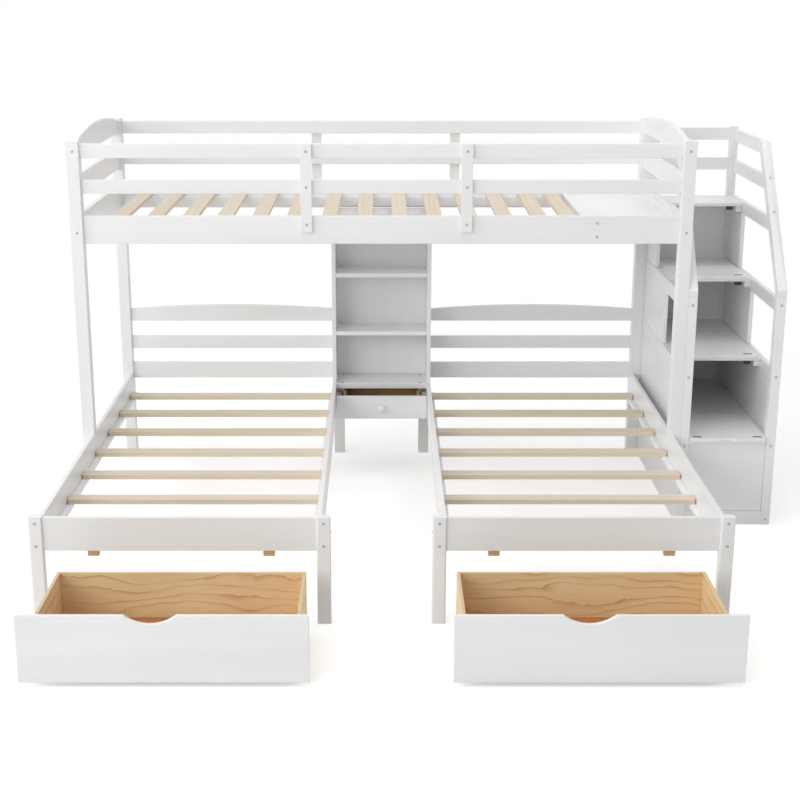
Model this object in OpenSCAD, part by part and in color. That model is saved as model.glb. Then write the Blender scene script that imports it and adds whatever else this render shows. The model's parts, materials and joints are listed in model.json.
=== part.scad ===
// Triple bunk bed: two low beds, an upper bunk across both, stairs, bookcase and drawers

/* [Low beds] */
// Clear width between the side rails of every low bed
clear_w = 970; // [900:5:1100]
// Length of a side rail between the front and back posts
side_rail_l = 1938; // [1850:1:2100]
// Aisle between the inner posts of the two low beds
aisle_w = 360; // [340:5:500]
// Side of the square back posts and upper posts
post_w = 50; // [44:1:60]
// Depth of a low front post
front_post_d = 35; // [34:1:50]
// Height of a low front post
front_post_h = 406; // [404:1:440]
// Rounding of the low front posts
post_round = 6; // [2:1:10]
// Height of a foot rail's top above the floor
low_rail_top = 403; // [380:1:404]
// Height of a low rail board
low_rail_h = 125; // [115:1:140]
// Thickness of a side rail
side_rail_t = 18; // [15:1:22]
// Thickness of a foot rail, a long upper rail and an end board
rail_t = 20; // [16:1:24]
// Distance of a foot rail's face behind its post's face
foot_rail_set = 10; // [4:1:14]
// Height of an inner back post
inner_back_post_h = 720; // [700:1:735]

/* [Slats] */
// Width of an upper slat ledger
ledger_w = 25; // [20:1:35]
// Height of an upper slat ledger
ledger_h = 45; // [35:1:50]
// Width of a low bed's slat ledger
low_ledger_w = 22; // [16:1:30]
// Height of a low bed's slat ledger
low_ledger_h = 18; // [14:1:25]
// Height of a low bed's ledger top
low_ledger_top = 308; // [300:1:320]
// Thickness of an upper slat and of the platform
slat_t = 15; // [12:1:20]
// Thickness of a low bed's slat
low_slat_t = 18; // [14:1:22]
// Width of a low bed's slat
low_slat_w = 60; // [50:1:90]
// Number of slats in a low bed
low_slat_count = 7; // [5:1:10]
// Distance of the first and the last low slat from the foot rail and the headboard
low_slat_margin = 88; // [60:1:120]
// Gap between a low slat's end and the side rail
low_slat_play = 2.5; // [2:0.5:5]
// Rounding of a slat's corners
slat_round = 8; // [3:1:12]
// Width of an upper slat
upper_slat_w = 65; // [50:1:80]
// Spacing of the upper slats
upper_slat_pitch = 147; // [120:1:160]
// Distance of the first upper slat's middle from the left posts
first_slat_in = 100; // [60:1:120]
// Gap between the last upper slat and the platform
last_slat_gap = 22.5; // [10:0.5:30]
// Least gap between two upper slats
least_slat_gap = 40; // [20:1:60]
// Gap between a long slat's end and the rail beside it
slat_play = 4; // [2:1:8]

/* [Headboards] */
// Thickness of a headboard's boards
headboard_t = 18; // [15:1:22]
// Distance of a board's face behind its post's face
board_set = 15; // [10:1:16]
// Bottom of the low headboard board
head_low_z = 377; // [360:1:400]
// Height of the low headboard board
head_low_h = 78; // [60:1:100]
// Bottom of the middle headboard board
head_mid_z = 525; // [500:1:540]
// Height of the middle headboard board
head_mid_h = 60; // [50:1:80]
// Bottom of the arched headboard board
head_top_z = 660; // [640:1:670]
// Height of the arched headboard board at its ends
head_top_h = 58; // [50:1:60]
// Rise of the headboard's arch at its middle
head_arch = 20; // [15:1:40]

/* [Upper bunk] */
// Depth of the upper bunk over its posts
bunk_d = 1032; // [1000:1:1060]
// Height of the upper posts
bunk_post_top = 1617; // [1612:1:1640]
// Bottom of the upper main rails
main_rail_z = 1204; // [1204:1:1206]
// Height of the upper main rails
main_rail_h = 113; // [100:1:120]
// Bottom of the lower guard rail
guard_z = 1406; // [1390:1:1420]
// Height of the lower guard rail
guard_h = 55; // [45:1:65]
// Distance of the top guard rail below the posts' tops
top_guard_drop = 13; // [5:1:20]
// Height of the top guard rail
top_guard_h = 57; // [45:1:60]
// Top of the upper ledgers
upper_ledger_top = 1260; // [1255:1:1265]
// Width of a guard upright
upright_w = 45; // [35:1:60]
// Places of the guard uprights along the rails
upright_x = [-301.5, 341];
// Bottom of the guard uprights
upright_z = 1253; // [1240:1:1270]
// Distance of the guard uprights' tops below the posts' tops
upright_drop = 12; // [5:1:13]
// How far a front post's tongue hangs below the side rail's top
tongue_drop = 113; // [80:1:120]
// Distance of the arched end board's ends below the posts' tops
end_drop = 9; // [4:1:20]
// Height of the arched end board at its ends
end_top_h = 59; // [50:1:60]
// Rise of the end board's arch at its middle
end_arch = 42; // [20:1:60]
// Bottom of the middle end board
end_mid_z = 1389; // [1370:1:1400]
// Height of the middle end board
end_mid_h = 87; // [70:1:100]
// Length of the platform beside the stairs
platform_l = 360; // [345:1:362]
// Width of the beam under the platform's edge
platform_beam_w = 36; // [25:1:50]
// Height of the cleat at the platform's end
cleat_h = 57; // [40:1:60]

/* [Bookcase] */
// Depth of the bookcase and the nightstand
bookcase_d = 183; // [170:1:250]
// Top of the bookcase
bookcase_top = 1204; // [1150:1:1204]
// Thickness of the bookcase's boards
shelf_t = 18; // [15:1:20]
// Undersides of the two shelves
shelf_z = [635, 910];
// Thickness of the bookcase's back panel
bookcase_back_t = 6; // [4:1:10]
// Thickness of the nightstand's top
nightstand_t = 25; // [18:1:26]

/* [Nightstand drawer] */
// How far the drawer stands open
night_open = 130; // [40:1:130]
// Height of the drawer front
night_front_h = 107; // [95:1:108]
// Gap above the drawer front and beside it
night_gap = 3; // [2:1:5]
// Thickness of the drawer front
night_front_t = 20; // [16:1:22]
// Space beside the drawer box for its runner and spacer block
runner_space = 35; // [30:1:40]
// Length of the drawer box behind its front
night_box_l = 200; // [180:1:205]
// Height of the drawer box
night_box_h = 83; // [60:1:88]
// Distance of the drawer box above its front's lower edge
night_box_lift = 15; // [8:1:18]
// Thickness of the drawer box's walls
night_wall = 12; // [9:1:16]
// Thickness of the drawer box's floor
night_floor = 6; // [4:1:9]
// Radius of the ball knob
knob_r = 17.5; // [12:0.5:22]

/* [Under-bed drawers] */
// How far a drawer front stands out before the beds
drawer_out = 486; // [400:1:700]
// Gap between a drawer front and the posts beside it
drawer_gap_in = 5; // [3:1:12]
// Gap between a drawer front and the outer post
drawer_gap_out = 9; // [3:1:14]
// Bottom of a drawer front above the floor
drawer_z = 15; // [10:1:18]
// Height of a drawer front
drawer_h = 239; // [238:1:242]
// Thickness of a drawer front
drawer_t = 15; // [12:1:20]
// Width of a drawer's hand notch
notch_w = 172; // [120:1:220]
// Depth of a drawer's hand notch
notch_d = 31; // [20:1:40]
// Distance of the hand notch from the middle of the front, towards the left
notch_shift = 38; // [0:1:80]
// Distance of the drawer box from its front's aisle end
box_in = 27; // [20:1:60]
// Distance of the drawer box from its front's outer end
box_out = 61; // [40:1:100]
// Length of the drawer box behind its front
box_l = 370; // [300:1:450]
// Thickness of the drawer box's walls
box_wall = 12; // [9:1:15]
// Bottom of the drawer box
box_z = 60; // [56:1:70]
// Top of the drawer box
box_top = 246; // [225:1:248]
// Thickness of the drawer box's floor
box_floor = 12; // [6:1:12]
// Lift of the drawer box's floor above the walls' lower edges
box_floor_lift = 6; // [4:1:10]
// Lowest point of the blocks that stop a drawer
stop_z = 250; // [249:1:252]

/* [Casters] */
// Radius of a caster wheel
wheel_r = 22; // [18:0.5:24]
// Width of a caster wheel
wheel_w = 18; // [12:1:24]
// Radius of a caster's axle
axle_r = 3; // [2:0.5:4]
// Thickness of a caster bracket's plates
bracket_t = 2; // [1.5:0.5:3]
// Distance of the wheel axles from the box's ends
caster_end = 45; // [40:1:80]
// Distance of a bracket from the box's sides
caster_side = 30; // [20:1:60]

/* [Stairs] */
// Width of the stairs over their newels
stair_w = 400; // [360:5:480]
// Height of the first tread's top
first_rise = 375; // [340:0.5:390]
// Rise from tread to tread
rise = 295.5; // [290:0.5:296]
// Depth of a tread
run = 250; // [235:1:260]
// Thickness of a tread
tread_t = 15; // [12:1:18]
// Thickness of the stairs' side walls
stair_wall = 18; // [15:1:18]
// Width of the stile at the back of the left side
stile_w = 40; // [30:1:55]
// Height of the stairs' side rails
stair_rail_h = 57; // [45:1:65]
// Width of a newel
newel_w = 38; // [34:1:50]
// Depth of a newel
newel_d = 45; // [38:1:55]
// Height where the newels start to lean back
lean_z = 1015; // [990:1:1040]
// Distance of the newels' upper joint below the lean
joint_drop = 28; // [25:1:40]
// Lean of the upper part of the newels
lean_angle = 37.4; // [30:0.2:40]
// Top of the newels
newel_top = 1570; // [1569:1:1600]
// Depth of the right back post
stair_post_d = 38; // [30:1:50]
// Top of the right back post
stair_post_top = 1580; // [1575:1:1610]
// Tops of the guard rails on the right side
side_guard_top = [1270, 1430, 1569];
// Bottoms of the guard rails at the back
back_guard_z = [1382, 1519];
// Height of the guard rails at the back
back_guard_h = 55; // [45:1:65]
// Thickness of the stairs' back panel
stair_back_t = 6; // [4:1:8]
// Height of the plinth under the front panel
plinth_h = 61; // [40:1:90]
// Thickness of the front panel
front_panel_t = 12; // [9:1:15]
// Distance of the front panel behind the newels' faces
front_panel_set = 6; // [2:1:10]

/* [Stair doors] */
// Thickness of a door
door_t = 12; // [9:1:15]
// Overhang of an open door past its tread's edge
door_over = 15; // [5:1:20]
// Gap between a door and the newels
door_gap = 2; // [1:0.5:4]
// Rounding of a door's free corners
door_round = 10; // [4:1:20]
// Width of a door's finger scallop
scallop_w = 68; // [50:1:90]
// Depth of a door's finger scallop
scallop_d = 8; // [5:1:12]
// Distance of a door's edge from its hinge axis
door_edge = 3; // [2.8:0.1:4]
// Height of the hinge axis above the tread
hinge_h = 2.5; // [2.5:0.1:3]
// Radius of a hinge knuckle
knuckle_r = 2.3; // [2:0.1:2.4]
// Radius of a hinge pin
pin_r = 1; // [0.8:0.1:1.2]
// Width of one hinge
hinge_w = 60; // [45:1:80]
// Distance of each hinge from the door's middle
hinge_x = 110; // [70:1:120]
// Length of a hinge's leaf on the tread
leaf_l = 18; // [12:1:25]
// Thickness of a hinge's leaf
leaf_t = 1.2; // [1:0.1:1.5]
// Width of a catch
catch_w = 32; // [20:1:40]
// Depth of a catch
catch_d = 12; // [8:1:20]
// Overlap of a catch and the closed door
catch_hold = 5; // [3:1:8]
// Distance of each catch from the door's middle
catch_x = 120; // [90:1:124]
// Side of the corner blocks beside the catches
corner_w = 26; // [18:1:30]

/* [Hidden] */
// Running gap of a bore round its pin
fit_gap = 0.05;
// Gap between neighbouring knuckles, and beside a runner or wheel
side_gap = 0.4;
// Joint line between two boards that are fixed to each other
seam = 0.2;
// Bolt head size
bolt_r = 6;
bolt_h = 1.5;
cap_r = 5;
// Distance of the low posts' heads from the rail's lower and upper edges
head_in_low = 21;
head_in_top = 19;
// Distance of an upright's lowest head below its rail's line, and of a post's head below the rail's middle
upright_head_in = 14;
post_head_drop = 10;
// Distance of the beam's heads from the rail's edges
beam_head_in = 29;
// Distances of the screw caps on the nightstand from its front, from each other and from its sides
cap_front = 12;
cap_pitch = 144;
cap_in = 29;
// Heads on the newels: above the floor, below the foot's joint, below a tread, and over the side guards
newel_head_low = 24;
newel_head_drop = 9;
stair_head_drop = [21, 13];
// Height of the head on the aisle face of an inner front post
aisle_head_z = 348;
lean_head_rise = 32;
lean_head_step = 2;
// Facets of short curves and of the wide arches
$fn = 48;
arch_fn = 720;

paint = [0.93, 0.93, 0.93];
pine = [0.91, 0.84, 0.74];
plywood = [0.80, 0.66, 0.46];
brown = [0.55, 0.40, 0.28];
steel = [0.62, 0.62, 0.63];
black = [0.1, 0.1, 0.1];

// Places of the posts along X, from the middle of the aisle
x_in = aisle_w / 2;
x_clear_in = x_in + post_w;
x_clear_out = x_clear_in + clear_w;
x_out = x_clear_out + post_w;
x_rail_in = x_clear_in - side_rail_t;
low_rail_z = low_rail_top - low_rail_h;
// Heights under the upper posts' tops
top_guard_z = bunk_post_top - top_guard_drop - top_guard_h;
upright_top = bunk_post_top - upright_drop;
end_top_z = bunk_post_top - end_drop - end_top_h;
// Places along Y, from the front faces of the low front posts
y_back = front_post_d + side_rail_l;
y_end = y_back + post_w;
y_bunk = y_end - bunk_d;
y_foot_back = foot_rail_set + rail_t;
y_head = y_back + board_set;
y_case = y_back - bookcase_d;
// The origin lies on the floor, under the middle of the whole bed
origin = [stair_w / 2, (y_end - drawer_out) / 2, 0];

module at_origin() translate(-origin) children();

// Keeps a right-hand piece, or mirrors it to the left
module on_side(left) mirror([left ? 1 : 0, 0, 0]) children();

// A board between two corners
module board(low, high) translate(low) cube(high - low);

// A rectangle with round corners, from exact arcs
module round_rect(w, d, r) {
    translate([r, 0]) square([w - 2 * r, d]);
    translate([0, r]) square([w, d - 2 * r]);
    for (x = [r, w - r], y = [r, d - r]) translate([x, y]) circle(r);
}

// The radius of an arc from its chord and its rise
function arc_r(chord, height) = (chord * chord / 4 + height * height) / (2 * height);

// A board's outline with an arched top edge
module arch_outline(w, end_h, height) {
    r = arc_r(w, height);
    intersection() {
        square([w, end_h + height]);
        translate([w / 2, end_h + height - r]) circle(r, $fn = arch_fn);
    }
}

// Low beds

module front_post(x) translate([x, 0, 0]) linear_extrude(front_post_h) round_rect(post_w, front_post_d, post_round);

module inner_front_post(left) on_side(left) front_post(x_in);

module outer_front_post(left) on_side(left) front_post(x_clear_out);

module foot_rail(left) on_side(left)
    board([x_clear_in, foot_rail_set, low_rail_z], [x_clear_out, y_foot_back, low_rail_top]);

// A side rail with the ledger that carries the slats
module outer_rail(left) on_side(left) {
    board([x_clear_out, front_post_d, low_rail_z], [x_clear_out + side_rail_t, y_back, low_rail_top]);
    board([x_clear_out - low_ledger_w, y_foot_back, low_ledger_top - low_ledger_h],
          [x_clear_out - seam, y_back, low_ledger_top]);
}

// Places of the nightstand drawer's runners
runner_z = low_rail_top - nightstand_t - night_gap - night_front_h + night_box_lift + night_box_h / 2;
runner_h = 40;
channel_t = 2;
channel_w = 10.5;
channel_gap = 2.5;
x_box_night = x_rail_in - runner_space;
x_block = x_box_night + channel_w + channel_gap;
y_runner = y_case + night_front_t + channel_t;
block_margin = 8;

// The inner side rail is notched under the nightstand's top; it carries the drawer's spacer block and channel
module inner_rail(left) on_side(left) {
    notch_z = low_rail_top - nightstand_t;
    translate([x_rail_in, 0, 0]) rotate([90, 0, 90]) linear_extrude(side_rail_t) polygon([
        [front_post_d, low_rail_z], [y_back, low_rail_z], [y_back, notch_z],
        [y_case, notch_z], [y_case, low_rail_top], [front_post_d, low_rail_top]]);
    board([x_clear_in + seam, y_foot_back, low_ledger_top - low_ledger_h],
          [x_clear_in + low_ledger_w, y_back, low_ledger_top]);
    board([x_block, y_runner, runner_z - runner_h / 2 - block_margin],
          [x_rail_in - seam, y_back, runner_z + runner_h / 2 + block_margin]);
    difference() {
        board([x_block - channel_w, y_runner, runner_z - runner_h / 2],
              [x_block - seam, y_back, runner_z + runner_h / 2]);
        board([x_block - channel_w - channel_t, y_runner - channel_t, runner_z - runner_h / 2 + channel_t],
              [x_block - channel_t, y_back + channel_t, runner_z + runner_h / 2 - channel_t]);
    }
}

// Low slats spread evenly between the foot rail and the headboard
module low_slats(left) on_side(left) {
    first_y = y_foot_back + low_slat_margin;
    pitch = (y_head - low_slat_margin - low_slat_w - first_y) / (low_slat_count - 1);
    for (i = [0 : low_slat_count - 1])
        translate([x_clear_in + low_slat_play, first_y + i * pitch, low_ledger_top]) linear_extrude(low_slat_t)
            round_rect(clear_w - 2 * low_slat_play, low_slat_w, slat_round);
}

module headboard(left) on_side(left) translate([x_clear_in, y_head + headboard_t, 0]) rotate([90, 0, 0])
    linear_extrude(headboard_t) {
        translate([0, head_low_z]) square([clear_w, head_low_h]);
        translate([0, head_mid_z]) square([clear_w, head_mid_h]);
        translate([0, head_top_z]) arch_outline(clear_w, head_top_h, head_arch);
    }

module inner_back_post(left) on_side(left) board([x_in, y_back, 0], [x_clear_in, y_end, inner_back_post_h]);

// Blocks that hang behind the foot rails and stop the drawers
stop_w = 41;
stop_t = 18;
stop_h = low_ledger_top - stop_z;
stop_in = 151;
module stop_blocks() color(pine) at_origin()
    for (left = [true, false], x = [x_clear_in + stop_in, x_clear_out - stop_in - stop_w]) on_side(left)
        board([x, y_foot_back, stop_z], [x + stop_w, y_foot_back + stop_t, stop_z + stop_h]);

module left_outer_front_post() color(paint) at_origin() outer_front_post(true);
module left_inner_front_post() color(paint) at_origin() inner_front_post(true);
module right_inner_front_post() color(paint) at_origin() inner_front_post(false);
module right_outer_front_post() color(paint) at_origin() outer_front_post(false);
module left_foot_rail() color(paint) at_origin() foot_rail(true);
module right_foot_rail() color(paint) at_origin() foot_rail(false);
module left_outer_rail() color(paint) at_origin() outer_rail(true);
module left_inner_rail() color(paint) at_origin() inner_rail(true);
module right_inner_rail() color(paint) at_origin() inner_rail(false);
module right_outer_rail() color(paint) at_origin() outer_rail(false);
module left_slats() color(pine) at_origin() low_slats(true);
module right_slats() color(pine) at_origin() low_slats(false);
module left_headboard() color(paint) at_origin() headboard(true);
module right_headboard() color(paint) at_origin() headboard(false);
module left_inner_back_post() color(paint) at_origin() inner_back_post(true);
module right_inner_back_post() color(paint) at_origin() inner_back_post(false);

// Upper bunk

// A front post stands on the low side rail, with a tongue outside it
module front_bunk_post(left) on_side(left) translate([0, y_bunk + post_w, 0]) rotate([90, 0, 0])
    linear_extrude(post_w) polygon([
        [x_clear_out, low_rail_top], [x_clear_out + side_rail_t, low_rail_top],
        [x_clear_out + side_rail_t, low_rail_top - tongue_drop], [x_out, low_rail_top - tongue_drop],
        [x_out, bunk_post_top], [x_clear_out, bunk_post_top]]);

module back_bunk_post(left) on_side(left) board([x_clear_out, y_back, 0], [x_out, y_end, bunk_post_top]);

// A long board of the bunk between two heights, at the given front face
module long_rail(y, z, h) board([-x_clear_out, y, z], [x_clear_out, y + rail_t, z + h]);

y_front_rail = y_bunk + board_set;
module front_bunk_rail() color(paint) at_origin() {
    long_rail(y_front_rail, main_rail_z, main_rail_h);
    board([-x_clear_out, y_front_rail + rail_t + seam, upper_ledger_top - ledger_h],
          [x_clear_out, y_front_rail + rail_t + ledger_w, upper_ledger_top]);
}

module back_bunk_rail() color(paint) at_origin() {
    long_rail(y_head, main_rail_z, main_rail_h);
    board([-x_clear_out, y_head - ledger_w, upper_ledger_top - ledger_h],
          [x_clear_out, y_head - seam, upper_ledger_top]);
}

module guard_rails(y) {
    long_rail(y, guard_z, guard_h);
    long_rail(y, top_guard_z, top_guard_h);
}

module front_guard_rails() color(paint) at_origin() guard_rails(y_front_rail);

module back_guard_rails() color(paint) at_origin() guard_rails(y_head);

module front_uprights() color(paint) at_origin() for (x = upright_x)
    board([x - upright_w / 2, y_bunk, upright_z], [x + upright_w / 2, y_front_rail, upright_top]);

module back_uprights() color(paint) at_origin() for (x = upright_x)
    board([x - upright_w / 2, y_head + rail_t, upright_z], [x + upright_w / 2, y_end, upright_top]);

// Three boards across an end, the top one arched
module end_boards(left) on_side(left) {
    w = bunk_d - 2 * post_w;
    translate([x_clear_out + board_set, y_bunk + post_w, 0]) rotate([90, 0, 90]) linear_extrude(rail_t) {
        translate([0, main_rail_z]) square([w, main_rail_h]);
        translate([0, end_mid_z]) square([w, end_mid_h]);
        translate([0, end_top_z]) arch_outline(w, end_top_h, end_arch);
    }
}

module bunk_slats() color(pine) at_origin() {
    y0 = y_front_rail + rail_t + slat_play;
    last_x = x_clear_out - platform_l - last_slat_gap - upper_slat_w / 2;
    even_end = last_x - upper_slat_w - least_slat_gap;
    places = [for (x = [first_slat_in - x_clear_out : upper_slat_pitch : even_end]) x, last_x];
    for (x = places) translate([x - upper_slat_w / 2, y0, upper_ledger_top]) linear_extrude(slat_t)
        round_rect(upper_slat_w, y_head - slat_play - y0, slat_round);
}

// How far the beam lies behind the platform's edge
beam_in = 10;

// The solid platform beside the stairs, its beam and its end cleat
module entry_platform() color(paint) at_origin() {
    y0 = y_front_rail + rail_t;
    x0 = x_clear_out - platform_l;
    board([x0, y0, upper_ledger_top], [x_clear_out - seam, y_head, upper_ledger_top + slat_t]);
    board([x0 + beam_in, y0 + ledger_w, upper_ledger_top - ledger_h],
          [x0 + beam_in + platform_beam_w, y_head - ledger_w, upper_ledger_top - seam]);
    board([x_clear_out, y_bunk + post_w, upper_ledger_top - ledger_h / 2],
          [x_clear_out + board_set, y_back, upper_ledger_top - ledger_h / 2 + cleat_h]);
}

module left_front_bunk_post() color(paint) at_origin() front_bunk_post(true);
module right_front_bunk_post() color(paint) at_origin() front_bunk_post(false);
module left_back_bunk_post() color(paint) at_origin() back_bunk_post(true);
module right_back_bunk_post() color(paint) at_origin() back_bunk_post(false);
module left_end_boards() color(paint) at_origin() end_boards(true);
module right_end_boards() color(paint) at_origin() end_boards(false);

// Bookcase and nightstand

module bookcase_sides() color(paint) at_origin() for (left = [true, false]) on_side(left)
    board([x_rail_in, y_case, low_rail_top], [x_clear_in, y_back, bookcase_top]);

module bookcase_shelves() color(paint) at_origin() {
    for (z = shelf_z)
        board([-x_rail_in, y_case, z], [x_rail_in, y_back - bookcase_back_t, z + shelf_t]);
    board([-x_rail_in, y_case, bookcase_top - shelf_t], [x_rail_in, y_back, bookcase_top]);
}

module bookcase_back() color(paint) at_origin()
    board([-x_rail_in, y_back - bookcase_back_t, low_rail_top], [x_rail_in, y_back, bookcase_top - shelf_t]);

module nightstand_top() color(paint) at_origin()
    board([-x_clear_in, y_case, low_rail_top - nightstand_t], [x_clear_in, y_back, low_rail_top]);

// Places of the nightstand drawer, as it stands open
night_front_z = low_rail_top - nightstand_t - night_gap - night_front_h;
night_box_z = night_front_z + night_box_lift;
y_night = y_case - night_open;
y_night_box = y_night + night_front_t;

module nightstand_drawer_front() color(paint) at_origin()
    board([-x_rail_in + night_gap, y_night, night_front_z],
          [x_rail_in - night_gap, y_night_box, night_front_z + night_front_h]);

// The drawer box: sides, inner front, back, floor and the slide bars
module nightstand_drawer_box() color(brown) at_origin() {
    x1 = x_box_night;
    z1 = night_box_z + night_box_h;
    y1 = y_night_box + night_box_l;
    for (left = [true, false]) on_side(left) {
        board([x1 - night_wall, y_night_box, night_box_z], [x1, y1, z1]);
        board([x1 + seam, y_night_box, runner_z - runner_h / 2 + channel_t + side_gap],
              [x_block - channel_t - side_gap, y_back - night_open - side_gap,
               runner_z + runner_h / 2 - channel_t - side_gap]);
    }
    x_inner = x1 - night_wall - seam;
    board([-x_inner, y1 - night_wall, night_box_z], [x_inner, y1, z1]);
    board([-x_inner, y_night_box, night_box_z], [x_inner, y1 - night_wall - seam, night_box_z + night_floor]);
}

// A ball on a short neck, turned round its axis
module nightstand_knob() color(paint) at_origin()
    translate([0, y_night, night_front_z + night_front_h / 2]) rotate([90, 0, 0]) rotate_extrude() {
        neck_r = 7;
        neck_l = 8;
        neck_sink = 3;
        square([neck_r, neck_l]);
        intersection() {
            translate([0, neck_l + knob_r - neck_sink]) circle(knob_r);
            square([knob_r, neck_l + 2 * knob_r]);
        }
    }

// Stairs

// Tread tops and riser planes, counted from 1 to 4
function tread_top(i) = first_rise + (i - 1) * rise;
function riser_y(i) = y_bunk + (i - 1) * run;
x_stair = x_out + stair_w;
x_newel_in = x_out + newel_w;
x_newel_right = x_stair - newel_w;
x_wall_left = x_out + rail_t;
x_wall_right = x_stair - rail_t;
landing_top = tread_top(4);

// The back edge of a newel at a height
function newel_back(z) = y_bunk + max(newel_d, newel_d / cos(lean_angle) + (z - lean_z) * tan(lean_angle));
// The height where the back edge starts to lean
lean_back_z = lean_z - (newel_d / cos(lean_angle) - newel_d) / tan(lean_angle);

// A newel in three lengths: the foot below the first tread, the post and the leaning top
module newel(x) {
    top_y = y_bunk + (newel_top - lean_z) * tan(lean_angle);
    foot_top = first_rise - tread_t;
    joint_z = lean_z - joint_drop;
    board([x, y_bunk, 0], [x + newel_w, y_bunk + newel_d, foot_top - seam]);
    board([x, y_bunk, foot_top], [x + newel_w, y_bunk + newel_d, joint_z - seam]);
    translate([x, 0, 0]) rotate([90, 0, 90]) linear_extrude(newel_w) polygon([
        [y_bunk, joint_z], [y_bunk + newel_d, joint_z], [y_bunk + newel_d, lean_back_z],
        [newel_back(newel_top), newel_top], [top_y, newel_top], [y_bunk, lean_z]]);
}

module left_newel() color(paint) at_origin() newel(x_out);

module right_newel() color(paint) at_origin() newel(x_newel_right);

// A rail from the newel's back edge to the back, cut to the newel's lean
module stair_rail(x, top) {
    low = top - stair_rail_h + seam;
    translate([x, 0, 0]) rotate([90, 0, 90]) linear_extrude(rail_t) polygon([
        [newel_back(low) + seam, low], [y_back - seam, low], [y_back - seam, top],
        [newel_back(top) + seam, top]]);
}

// The wall of one level; the lowest cubby's wall runs forward to the newel
module side_wall(x, i, top, y1) {
    y0 = i == 2 ? y_bunk + newel_d + seam : riser_y(i);
    board([x, y0, tread_top(i - 1) + seam], [x + stair_wall, y1, top - stair_rail_h]);
}

// The left side has a stile beside the back post
module left_stair_side() color(paint) at_origin() {
    x = x_wall_left - stair_wall;
    y_stile = y_back - stile_w;
    board([x, y_bunk + newel_d, 0], [x_wall_left, y_stile - seam, first_rise]);
    board([x, y_stile, 0], [x_wall_left, y_back - seam, first_rise]);
    for (i = [2 : 4]) {
        stair_rail(x_out, tread_top(i));
        side_wall(x, i, tread_top(i), y_stile - seam);
        board([x, y_stile, tread_top(i - 1) + seam], [x_wall_left, y_back - seam, tread_top(i) - stair_rail_h]);
    }
}

// Rails, the walls between them and the back post
module right_stair_side() color(paint) at_origin() {
    board([x_wall_right, y_bunk + newel_d, 0], [x_wall_right + stair_wall, y_back - seam, first_rise]);
    for (top = concat([tread_top(2), tread_top(3)], side_guard_top)) stair_rail(x_wall_right, top);
    for (i = [2 : 4]) side_wall(x_wall_right, i, i == 4 ? side_guard_top[0] : tread_top(i), y_back - seam);
    board([x_newel_right, y_back, 0], [x_wall_right + stair_wall, y_back + stair_post_d, stair_post_top]);
}

// The places of the doors, with the tread's top, the hinge axis and the underside above
door_l = run + door_over - door_edge;
x_door = x_newel_in + door_gap;
door_w = stair_w - 2 * newel_w - 2 * door_gap;
x_door_mid = x_door + door_w / 2;

// Treads run back as the floors of the cubbies; the first is notched round the newels
module treads() color(paint) at_origin() {
    difference() {
        board([x_wall_left, riser_y(1), first_rise - tread_t], [x_wall_right, y_back, first_rise]);
        for (x = [x_out, x_newel_right])
            board([x, y_bunk - door_gap, first_rise - 2 * tread_t], [x + newel_w, y_bunk + newel_d, first_rise + tread_t]);
    }
    for (i = [2 : 4])
        board([x_wall_left, riser_y(i), tread_top(i) - tread_t], [x_wall_right, y_back, tread_top(i)]);
    for (i = [2 : 4], x = [x_wall_left, x_wall_right - corner_w])
        board([x, riser_y(i) + door_t, tread_top(i) - tread_t - corner_w],
              [x + corner_w, riser_y(i) + door_t + corner_w, tread_top(i) - tread_t - seam]);
}

module stair_front_panel() color(paint) at_origin() {
    y1 = y_bunk + front_panel_set + front_panel_t;
    board([x_newel_in, y_bunk + front_panel_set, plinth_h], [x_newel_right, y1, first_rise - tread_t]);
    board([x_newel_in, y_bunk + front_panel_set / 2, 0], [x_newel_right, y1, plinth_h - seam]);
}

module stair_back_panel() color(paint) at_origin()
    board([x_out, y_back, 0], [x_newel_right, y_back + stair_back_t, landing_top]);

module stair_back_guards() color(paint) at_origin() for (z = back_guard_z)
    board([x_out, y_back + stair_back_t, z], [x_newel_right, y_back + stair_back_t + rail_t, z + back_guard_h]);

// Knuckle length, three to a hinge
knuckle_l = (hinge_w - 2 * side_gap) / 3;

// A hinge's pin or knuckle along X, in the middle of the hinge
module along_x(l, r) rotate([0, 90, 0]) cylinder(h = l, r = r, center = true, $fn = 24);

// The fixed half of a hinge: two outer knuckles, the pin and the leaf on the tread
foot_in = 1;
module fixed_hinge() {
    for (s = [-1, 1]) translate([s * (hinge_w - knuckle_l) / 2, 0, 0]) along_x(knuckle_l, knuckle_r);
    along_x(hinge_w - knuckle_l, pin_r);
    foot_w = knuckle_l - 2 * foot_in;
    translate([0, 0, -hinge_h]) linear_extrude(leaf_t) {
        translate([-hinge_w / 2 + foot_in, door_edge]) square([hinge_w - 2 * foot_in, leaf_l - door_edge]);
        for (s = [-1, 1]) translate([s * (hinge_w - knuckle_l) / 2 - foot_w / 2, 0]) square([foot_w, leaf_l]);
    }
}

// Hinges behind the doors and the catches under the treads above
module door_hardware() color(steel) at_origin() for (i = [1 : 3]) {
    for (s = [-1, 1]) translate([x_door_mid + s * hinge_x, riser_y(i + 1), tread_top(i) + hinge_h]) fixed_hinge();
    door_top = tread_top(i) + hinge_h + door_edge + door_l;
    y_catch = riser_y(i + 1) + door_t - hinge_h + side_gap;
    for (s = [-1, 1]) board([x_door_mid + s * catch_x - catch_w / 2, y_catch, door_top - catch_hold],
                            [x_door_mid + s * catch_x + catch_w / 2, y_catch + catch_d, tread_top(i + 1) - tread_t]);
}

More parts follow.
